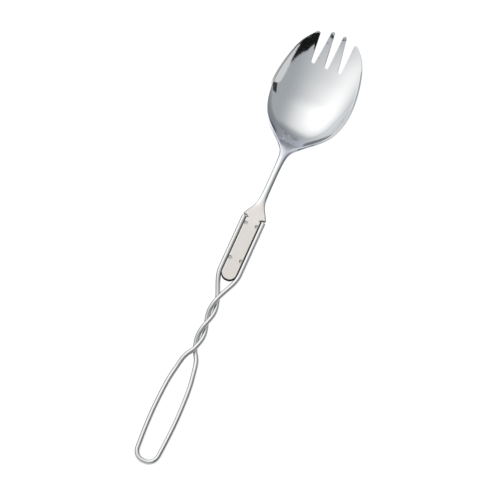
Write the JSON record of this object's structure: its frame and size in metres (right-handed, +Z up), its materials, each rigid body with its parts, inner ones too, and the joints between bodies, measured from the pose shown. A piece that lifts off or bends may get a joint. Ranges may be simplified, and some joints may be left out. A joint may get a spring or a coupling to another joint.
{
  "type": "serving spork",
  "caption": "Long serving spork: a deep tined spoon bowl on a slim neck, whose flat tongue sits between the legs of a twisted and looped round-wire handle.",
  "frame": {"origin": "middle of the overall box at the surface the spork rests on", "axes": "+Y along the length from the handle's loop to the tines, +Z up out of the open bowl, +X to the right seen from above with the tines away from the viewer"},
  "size_m": [0.0456, 0.2501, 0.0148],
  "materials": {
    "polished_steel": "stainless steel, mirror-polished on the bowl, tines and neck, satin on the flare and tongue",
    "bright_wire": "bright drawn stainless steel wire"
  },
  "bodies": {
    "root": {"spork_head": "polished_steel", "wire_handle": "bright_wire"}
  },
  "joints": []
}
